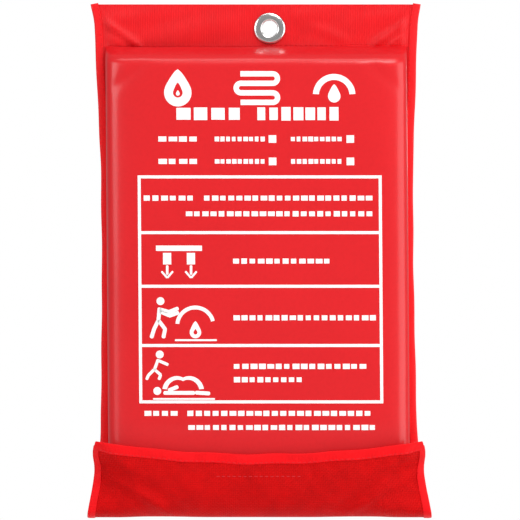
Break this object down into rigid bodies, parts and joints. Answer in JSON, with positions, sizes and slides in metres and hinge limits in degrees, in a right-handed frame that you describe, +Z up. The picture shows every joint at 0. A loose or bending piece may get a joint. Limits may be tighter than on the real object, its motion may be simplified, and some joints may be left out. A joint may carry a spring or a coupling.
{
  "type": "fire blanket in a hanging pouch",
  "caption": "Folded fire blanket in a soft hanging pouch with an eyelet, a hook-and-loop bottom flap and two pull tabs.",
  "frame": {"origin": "middle of the hanging eyelet's hole, in the plane of the back panel", "axes": "+Z up along the hanging pouch, -Y out of the front, +X to the right seen from the front"},
  "size_m": [0.217, 0.0312, 0.3243],
  "materials": {
    "woven_back": "woven polyester",
    "coated_sheet": "smooth glossy coated cloth",
    "ribbed_header": "ribbed woven polyester",
    "binding_tape": "fine ribbed tape",
    "loop_pile": "loop pile",
    "hook_pile": "moulded hooks",
    "nickel_plate": "polished nickel plate",
    "red_thread": "sewing thread",
    "white_thread": "sewing thread",
    "white_ink": "screen-printed ink",
    "flap_cloth": "plain woven polyester",
    "flap_binding": "fine ribbed tape",
    "glass_cloth": "woven glass fibre",
    "hem_tape": "woven tape",
    "tab_webbing": "cotton webbing"
  },
  "bodies": {
    "pouch": {"back_panel": "woven_back", "front_panel": "coated_sheet", "header_facing": "ribbed_header", "left_side_binding": "binding_tape", "right_side_binding": "binding_tape", "mouth_hem": "coated_sheet", "loop_tape": "loop_pile", "eyelet": "nickel_plate", "eyelet_washer": "nickel_plate", "header_stitching": "red_thread", "side_stitching": "red_thread", "hem_stitching": "red_thread", "loop_tape_stitching": "red_thread", "printed_title": "white_ink", "printed_frame": "white_ink", "printed_text": "white_ink", "printed_pictograms": "white_ink"},
    "flap_lower": {"bottom_fold": "flap_cloth", "flap_web": "flap_cloth", "web_left_binding": "flap_binding", "web_right_binding": "flap_binding", "flap_crease": "flap_cloth"},
    "flap_upper": {"flap_panel": "flap_cloth", "flap_top_binding": "flap_binding", "flap_left_binding": "flap_binding", "flap_right_binding": "flap_binding", "hook_tape": "hook_pile", "flap_stitching": "red_thread", "hook_tape_stitching": "white_thread"},
    "blanket": {"blanket_pack": "glass_cloth", "blanket_hem": "hem_tape"},
    "left_tab": {"left_pull_tab": "tab_webbing", "left_tab_stitching": "red_thread"},
    "right_tab": {"right_pull_tab": "tab_webbing", "right_tab_stitching": "red_thread"}
  },
  "joints": [
    {"name": "flap_fold_hinge", "type": "hinge", "parent": "pouch", "child": "flap_lower", "pos_m": [-0.007, -0.0016, -0.3075], "axis": [1, 0, 0], "range_deg": [0, 123]},
    {"name": "flap_crease_hinge", "type": "hinge", "parent": "flap_lower", "child": "flap_upper", "pos_m": [-0.007, -0.0299, -0.28912], "axis": [1, 0, 0], "range_deg": [0, 57]},
    {"name": "blanket_slide", "type": "slide", "parent": "pouch", "child": "blanket", "axis": [0, 0, -1], "range_m": [0, 0.05]},
    {"name": "left_tab_swing", "type": "hinge", "parent": "blanket", "child": "left_tab", "pos_m": [-0.057, -0.02, -0.2633], "axis": [-1, 0, 0], "range_deg": [-6, 6]},
    {"name": "right_tab_swing", "type": "hinge", "parent": "blanket", "child": "right_tab", "pos_m": [0.043, -0.02, -0.2633], "axis": [-1, 0, 0], "range_deg": [-6, 6]}
  ],
  "couplings": [
    {"joint": "flap_fold_hinge", "follows": "blanket_slide", "rad_per_m": 42.93},
    {"joint": "flap_crease_hinge", "follows": "blanket_slide", "rad_per_m": 19.894}
  ]
}
